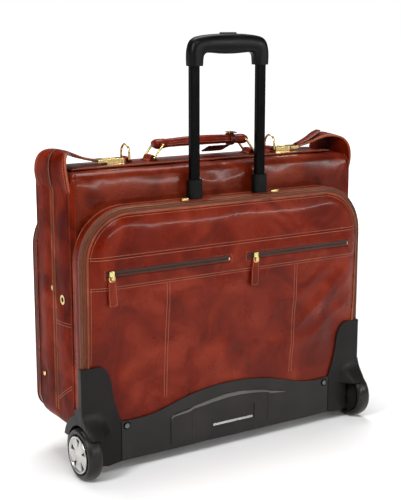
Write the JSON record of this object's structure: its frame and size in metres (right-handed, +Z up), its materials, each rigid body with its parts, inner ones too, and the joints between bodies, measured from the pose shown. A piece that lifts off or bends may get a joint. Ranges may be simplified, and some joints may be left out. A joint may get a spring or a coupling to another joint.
{
  "type": "wheeled garment case",
  "caption": "Wheeled leather garment case with a lid half, front pocket flap, telescopic trolley handle, carry handle, corner straps and wheels in plastic guards.",
  "frame": {"origin": "on the floor under the middle of the case's bounding box", "axes": "+Z up, +X to the right seen from the trolley side, +Y towards the rear half that opens"},
  "size_m": [0.583, 0.243, 0.706],
  "materials": {
    "leather": "glossy pull-up leather, cognac brown",
    "brass": "antique, semi-gloss",
    "zip_tape": "woven zip tape with metal teeth",
    "guard_plastic": "fine moulded texture",
    "grip_plastic": "soft satin",
    "inner_plastic": "moulded",
    "black_tube": "black anodised",
    "steel": "plain",
    "bright_metal": "painted silver",
    "tyre": "moulded rubber"
  },
  "bodies": {
    "case": {"front_shell": "leather", "trolley_board": "inner_plastic", "top_strip": "leather", "front_pocket_gusset": "leather", "front_pocket_base": "leather", "kick_plate": "guard_plastic", "plate_bar": "bright_metal", "plate_screws": "bright_metal", "wheel_guard_left": "guard_plastic", "wheel_guard_right": "guard_plastic", "wheel_axles": "steel", "outer_tubes": "black_tube", "tube_collars": "grip_plastic", "tube_foot": "inner_plastic", "handle_chapes": "leather", "d_ring_tabs": "leather", "strap_buckles": "brass", "ears": "leather", "side_grommets": "brass", "hinge_strip": "leather", "garment_rail": "steel"},
    "lid": {"rear_shell": "leather", "rear_pocket": "leather", "rear_feet": "inner_plastic", "side_studs": "brass"},
    "flap": {"front_flap": "leather", "welt_band": "leather", "pocket_zips": "zip_tape"},
    "middle_stage": {"middle_tubes": "black_tube"},
    "upper_stage": {"inner_tubes": "black_tube", "trolley_grip": "grip_plastic", "lock_blocks": "inner_plastic"},
    "button": {"release_button": "grip_plastic", "push_rods": "steel"},
    "lock_left": {"lock_pin_left": "steel"},
    "lock_right": {"lock_pin_right": "steel"},
    "wheel_left": {"tyre_left": "tyre", "hub_left": "bright_metal"},
    "wheel_right": {"tyre_right": "tyre", "hub_right": "bright_metal"},
    "ring_left": {"handle_ring_left": "brass"},
    "handle": {"carry_handle": "leather"},
    "ring_right": {"handle_ring_right": "brass"},
    "tag": {"luggage_tag": "leather"},
    "d_ring_l": {"d_ring_left": "brass"},
    "d_ring_r": {"d_ring_right": "brass"},
    "strap_left": {"ear_strap_left": "leather", "strap_clip_left": "brass"},
    "strap_right": {"ear_strap_right": "leather", "strap_clip_right": "brass"},
    "slider_left": {"pocket_slider_left": "brass"},
    "pull_left": {"pocket_pull_left": "leather"},
    "slider_right": {"pocket_slider_right": "brass"},
    "pull_right": {"pocket_pull_right": "leather"},
    "zip_left": {"main_slider_left": "brass"},
    "zip_pull_left": {"main_pull_left": "leather"},
    "zip_right": {"main_slider_right": "brass"},
    "zip_pull_right": {"main_pull_right": "leather"}
  },
  "joints": [
    {"name": "lid_hinge", "type": "hinge", "parent": "case", "child": "lid", "pos_m": [0, 0.0113, 0.059], "axis": [-1, 0, 0], "range_deg": [0, 90]},
    {"name": "flap_hinge", "type": "hinge", "parent": "case", "child": "flap", "pos_m": [0, -0.085, 0.19], "axis": [1, 0, 0], "range_deg": [0, 45]},
    {"name": "middle_stage_slide", "type": "slide", "parent": "case", "child": "middle_stage", "axis": [0, 0, 1], "range_m": [0, 0.24]},
    {"name": "upper_stage_slide", "type": "slide", "parent": "middle_stage", "child": "upper_stage", "axis": [0, 0, 1], "range_m": [-0.1825, 0]},
    {"name": "button_press", "type": "slide", "parent": "upper_stage", "child": "button", "axis": [0, 0, -1], "range_m": [0, 0.0035], "stiffness_N_per_m": 800, "springref_m": -0.002},
    {"name": "lock_left_slide", "type": "slide", "parent": "upper_stage", "child": "lock_left", "axis": [1, 0, 0], "range_m": [0, 0.003]},
    {"name": "lock_right_slide", "type": "slide", "parent": "upper_stage", "child": "lock_right", "axis": [-1, 0, 0], "range_m": [0, 0.003]},
    {"name": "wheel_left_spin", "type": "hinge", "parent": "case", "child": "wheel_left", "pos_m": [-0.276, -0.079, 0.0425], "axis": [1, 0, 0], "continuous": true},
    {"name": "wheel_right_spin", "type": "hinge", "parent": "case", "child": "wheel_right", "pos_m": [0.276, -0.079, 0.0425], "axis": [1, 0, 0], "continuous": true},
    {"name": "ring_left_swing", "type": "hinge", "parent": "case", "child": "ring_left", "pos_m": [-0.101, 0.011, 0.5005], "axis": [0, 1, 0], "range_deg": [-12, 12]},
    {"name": "handle_pivot", "type": "hinge", "parent": "ring_left", "child": "handle", "pos_m": [-0.084, 0.011, 0.5215], "axis": [0, 1, 0], "range_deg": [-15, 15]},
    {"name": "ring_right_swing", "type": "hinge", "parent": "case", "child": "ring_right", "pos_m": [0.101, 0.011, 0.5005], "axis": [0, 1, 0], "range_deg": [-12, 12]},
    {"name": "tag_swing", "type": "hinge", "parent": "handle", "child": "tag", "pos_m": [0, 0.011, 0.5215], "axis": [1, 0, 0], "range_deg": [0, 100]},
    {"name": "d_ring_left_swing", "type": "hinge", "parent": "case", "child": "d_ring_l", "pos_m": [-0.147, 0.011, 0.5006], "axis": [0, 1, 0], "range_deg": [-70, 70]},
    {"name": "strap_left_lift", "type": "hinge", "parent": "case", "child": "strap_left", "pos_m": [-0.262, 0.011, 0.5235], "axis": [0, -1, 0], "range_deg": [0, 110]},
    {"name": "pocket_zip_left_slide", "type": "slide", "parent": "flap", "child": "slider_left", "axis": [1, 0, 0], "range_m": [0, 0.214]},
    {"name": "pocket_pull_left_swing", "type": "hinge", "parent": "slider_left", "child": "pull_left", "pos_m": [-0.234, -0.1013, 0.3314], "axis": [-1, 0, 0], "range_deg": [0, 100]},
    {"name": "front_zip_left_slide", "type": "slide", "parent": "case", "child": "zip_left", "axis": [-1, 0, 0], "range_m": [0, 0.085]},
    {"name": "front_pull_left_lift", "type": "hinge", "parent": "zip_left", "child": "zip_pull_left", "pos_m": [-0.0976, -0.0821, 0.4402], "axis": [0, 1, 0], "range_deg": [0, 90]},
    {"name": "d_ring_right_swing", "type": "hinge", "parent": "case", "child": "d_ring_r", "pos_m": [0.147, 0.011, 0.5006], "axis": [0, 1, 0], "range_deg": [-70, 70]},
    {"name": "strap_right_lift", "type": "hinge", "parent": "case", "child": "strap_right", "pos_m": [0.262, 0.011, 0.5235], "axis": [0, 1, 0], "range_deg": [0, 110]},
    {"name": "pocket_zip_right_slide", "type": "slide", "parent": "flap", "child": "slider_right", "axis": [1, 0, 0], "range_m": [0, 0.195]},
    {"name": "pocket_pull_right_swing", "type": "hinge", "parent": "slider_right", "child": "pull_right", "pos_m": [0.04, -0.1013, 0.3314], "axis": [-1, 0, 0], "range_deg": [0, 100]},
    {"name": "front_zip_right_slide", "type": "slide", "parent": "case", "child": "zip_right", "axis": [1, 0, 0], "range_m": [0, 0.085]},
    {"name": "front_pull_right_lift", "type": "hinge", "parent": "zip_right", "child": "zip_pull_right", "pos_m": [0.0976, -0.0821, 0.4402], "axis": [0, -1, 0], "range_deg": [0, 90]}
  ],
  "couplings": [
    {"joint": "lock_left_slide", "follows": "button_press", "ratio": 0.857},
    {"joint": "lock_right_slide", "follows": "button_press", "ratio": 0.857},
    {"joint": "handle_pivot", "follows": "ring_left_swing", "ratio": -1.2024},
    {"joint": "ring_right_swing", "follows": "ring_left_swing", "ratio": 1}
  ]
}
